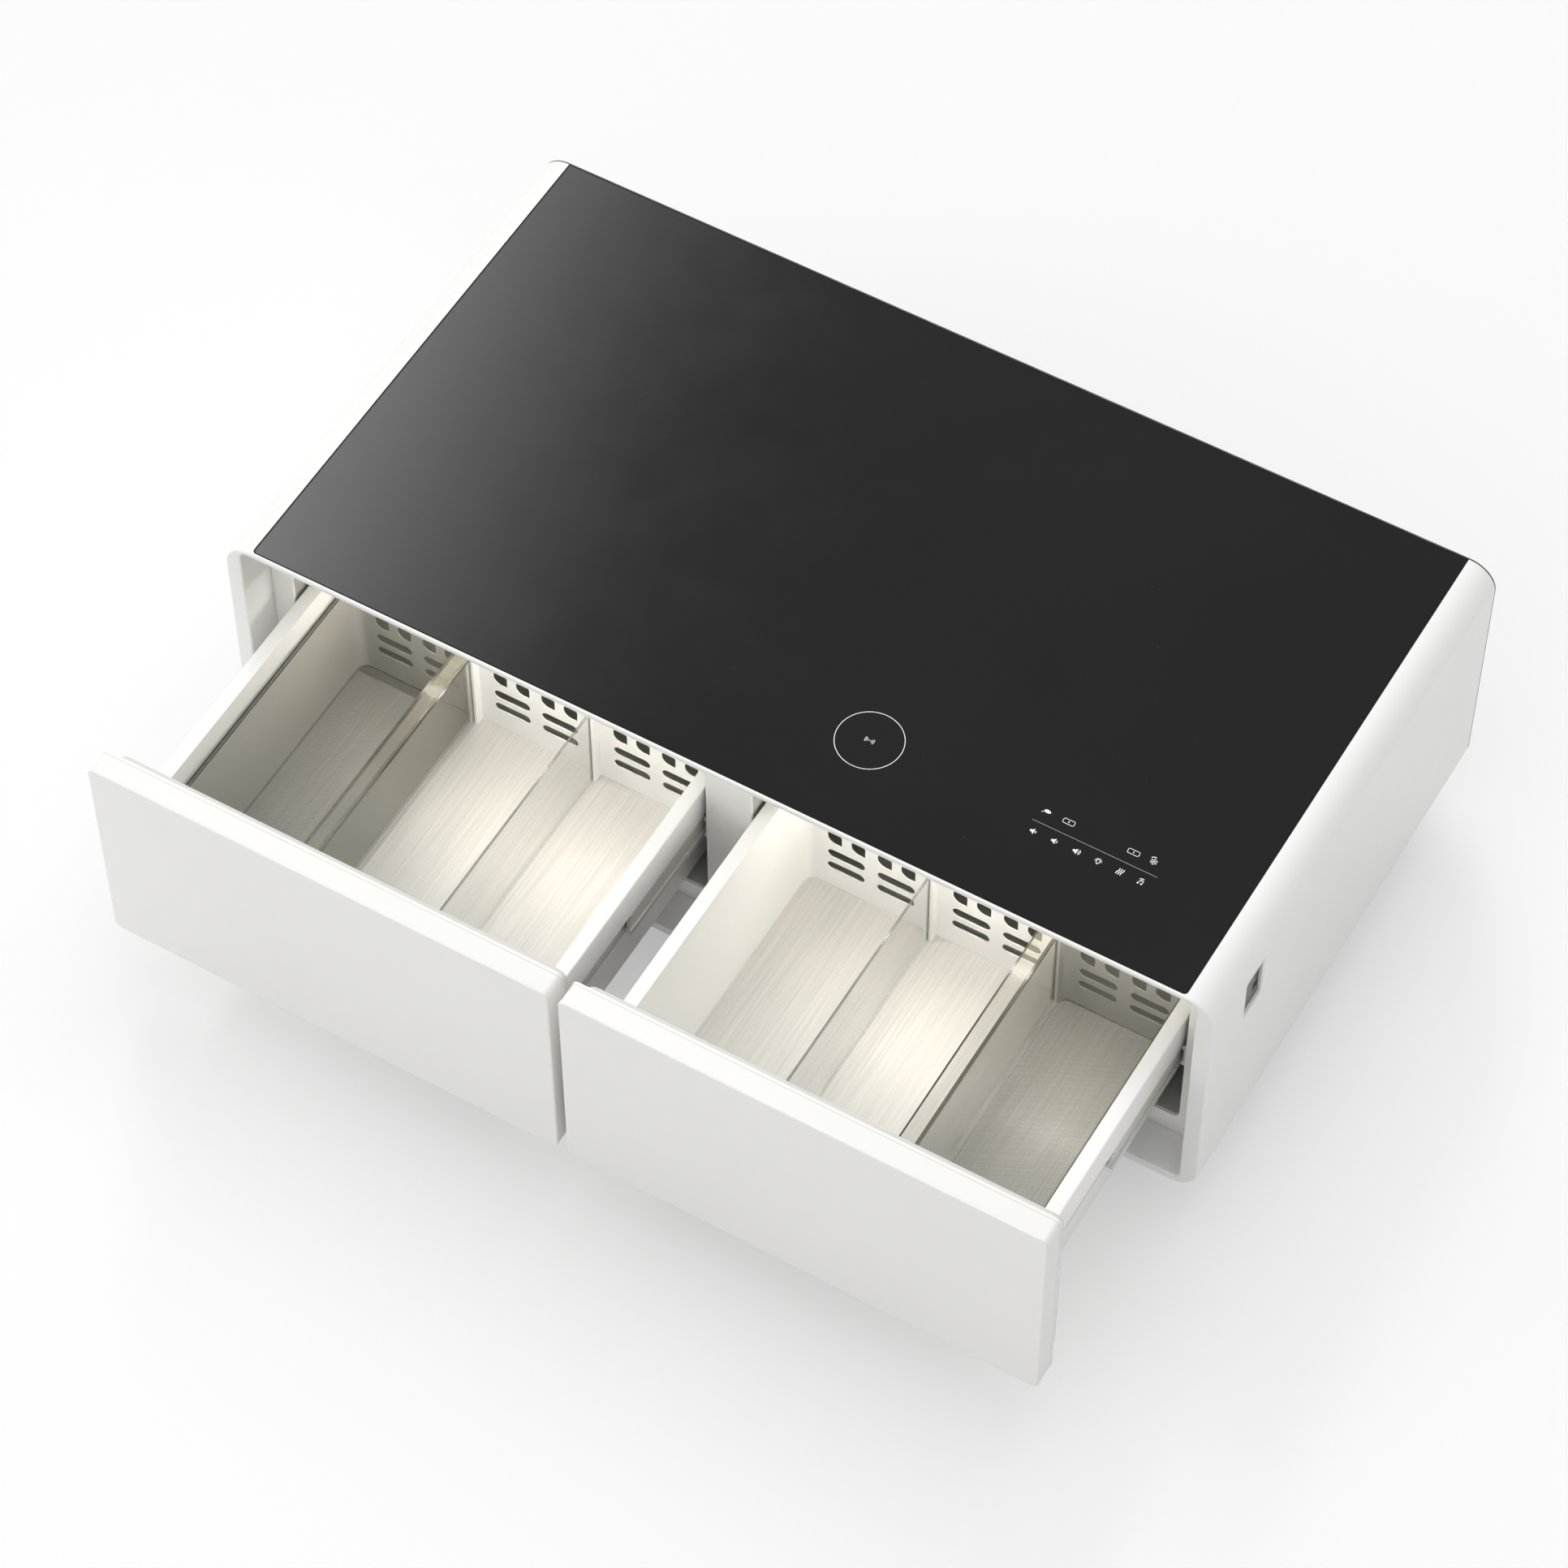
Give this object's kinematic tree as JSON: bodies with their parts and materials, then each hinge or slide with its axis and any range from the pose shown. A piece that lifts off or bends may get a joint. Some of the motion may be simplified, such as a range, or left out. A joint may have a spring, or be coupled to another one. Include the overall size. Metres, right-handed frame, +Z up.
{
  "type": "refrigerator coffee table",
  "caption": "Low coffee table with a flush glass top over side-by-side cooled drawers on telescopic slides, with bins, clear dividers, a rear cooling unit and a side socket recess.",
  "frame": {"origin": "on the floor under the middle of the table's bounding box, both drawers open", "axes": "+Z up, +X to the table's right as seen from the drawers, the drawers open towards -Y"},
  "size_m": [1.3, 1.0346, 0.46],
  "materials": {
    "white_steel": "satin powder coat",
    "top_glass": "polished, printed black behind",
    "dark_rubber": "matt",
    "white_plastic": "satin",
    "frame_plastic": "satin",
    "liner_plastic": "satin",
    "foam": "cellular",
    "tub_plastic": "satin",
    "gasket_rubber": "soft",
    "floor_steel": "brushed",
    "clear_plastic": "clear",
    "slide_steel": "zinc plated",
    "board": "solder mask",
    "copper": "drawn tube",
    "light": "frosted",
    "duct_plastic": "satin",
    "fan_plastic": "matt",
    "coil_metal": "mill",
    "condenser_metal": "satin black",
    "compressor_black": "gloss black",
    "plate_steel": "galvanised",
    "grey_plastic": "matt",
    "speaker_black": "matt",
    "panel_steel": "satin dark",
    "screw_steel": "blackened",
    "black_plastic": "matt",
    "pin_metal": "plated",
    "plinth_steel": "satin dark"
  },
  "bodies": {
    "cabinet": {"cabinet_shell": "white_steel", "glass_top": "top_glass", "glass_seal": "dark_rubber", "front_frame": "frame_plastic", "left_cavity_liner": "liner_plastic", "right_cavity_liner": "liner_plastic", "foam_top": "foam", "foam_base": "foam", "foam_uprights": "foam", "foam_rear": "foam", "touch_board": "board", "charging_coil": "copper", "light_strips": "light", "duct_covers": "duct_plastic", "cold_fan_motors": "fan_plastic", "evaporators": "coil_metal", "drip_tray": "grey_plastic", "condenser": "condenser_metal", "condenser_fan_shroud": "fan_plastic", "compressor": "compressor_black", "compressor_mount_plate": "plate_steel", "compressor_grommets": "dark_rubber", "refrigerant_pipes": "copper", "power_box": "grey_plastic", "speakers": "speaker_black", "rear_panel": "panel_steel", "rear_panel_screws": "screw_steel", "mains_inlet": "black_plastic", "inlet_pins": "pin_metal", "side_port_cup": "white_plastic", "usb_ports": "black_plastic", "audio_socket": "black_plastic", "plinth": "plinth_steel", "foot_stems": "plate_steel", "foot_pads": "dark_rubber", "left_cabinet_rails": "slide_steel", "right_cabinet_rails": "slide_steel"},
    "left_drawer": {"left_front_fascia": "white_plastic", "left_front_core": "frame_plastic", "left_front_back_plate": "white_plastic", "left_gasket": "gasket_rubber", "left_drawer_tub": "tub_plastic", "left_floor_sheet": "floor_steel", "left_dividers": "clear_plastic", "left_fruit_bin": "clear_plastic", "left_drawer_rails": "slide_steel"},
    "right_drawer": {"right_front_fascia": "white_plastic", "right_front_core": "frame_plastic", "right_front_back_plate": "white_plastic", "right_gasket": "gasket_rubber", "right_drawer_tub": "tub_plastic", "right_floor_sheet": "floor_steel", "right_dividers": "clear_plastic", "right_fruit_bin": "clear_plastic", "right_drawer_rails": "slide_steel"},
    "left_slide": {"left_middle_rails": "slide_steel"},
    "right_slide": {"right_middle_rails": "slide_steel"},
    "left_fan": {"left_fan_rotor": "fan_plastic"},
    "right_fan": {"right_fan_rotor": "fan_plastic"},
    "condenser_fan": {"condenser_fan_rotor": "fan_plastic"}
  },
  "joints": [
    {"name": "left_drawer_slide", "type": "slide", "parent": "cabinet", "child": "left_drawer", "axis": [0, -1, 0], "range_m": [-0.326, 0]},
    {"name": "right_drawer_slide", "type": "slide", "parent": "cabinet", "child": "right_drawer", "axis": [0, -1, 0], "range_m": [-0.326, 0]},
    {"name": "left_middle_slide", "type": "slide", "parent": "cabinet", "child": "left_slide", "axis": [0, -1, 0], "range_m": [-0.163, 0]},
    {"name": "right_middle_slide", "type": "slide", "parent": "cabinet", "child": "right_slide", "axis": [0, -1, 0], "range_m": [-0.163, 0]},
    {"name": "left_fan_spin", "type": "hinge", "parent": "cabinet", "child": "left_fan", "pos_m": [-0.3145, 0.2806, 0.253], "axis": [0, -1, 0], "continuous": true},
    {"name": "right_fan_spin", "type": "hinge", "parent": "cabinet", "child": "right_fan", "pos_m": [0.3145, 0.2806, 0.253], "axis": [0, -1, 0], "continuous": true},
    {"name": "condenser_fan_spin", "type": "hinge", "parent": "cabinet", "child": "condenser_fan", "pos_m": [0.0007, 0.4392, 0.152], "axis": [1, 0, 0], "continuous": true}
  ],
  "couplings": [
    {"joint": "left_middle_slide", "follows": "left_drawer_slide", "ratio": 0.5},
    {"joint": "right_middle_slide", "follows": "right_drawer_slide", "ratio": 0.5}
  ]
}
